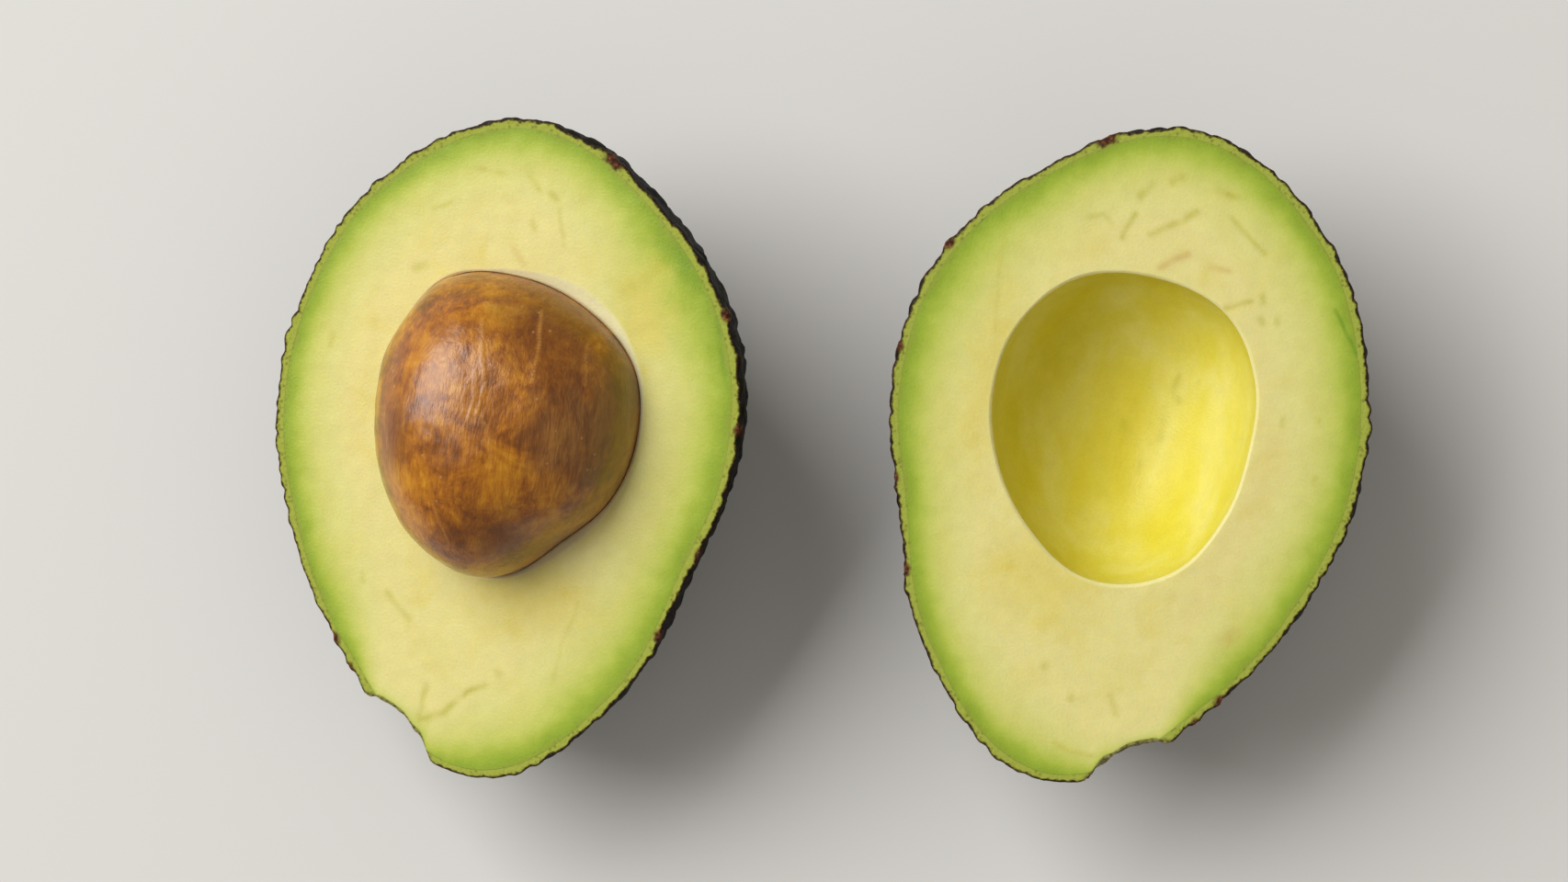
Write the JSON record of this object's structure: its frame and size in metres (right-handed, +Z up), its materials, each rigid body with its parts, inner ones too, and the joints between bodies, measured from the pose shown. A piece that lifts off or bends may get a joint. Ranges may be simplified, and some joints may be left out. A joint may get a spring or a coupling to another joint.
{
  "type": "halved avocado with its stone",
  "caption": "Ripe avocado cut in half lengthwise and laid open, one half holding its stone and the other showing the hollow.",
  "frame": {"origin": "middle of the ground under the two halves", "axes": "+Z up, +Y towards the blunt ends of the fruit, +X from the half with the stone to the hollow half"},
  "size_m": [0.1662, 0.0998, 0.0529],
  "materials": {
    "skin": "pebbled dark rind, dull",
    "flesh": "freshly cut, moist, green under the skin and cream in the middle",
    "stone_coat": "satin brown seed coat"
  },
  "bodies": {
    "root": {"stone_half_skin": "skin", "stone_half_flesh": "flesh", "stone": "stone_coat", "hollow_half_skin": "skin", "hollow_half_flesh": "flesh"}
  },
  "joints": []
}
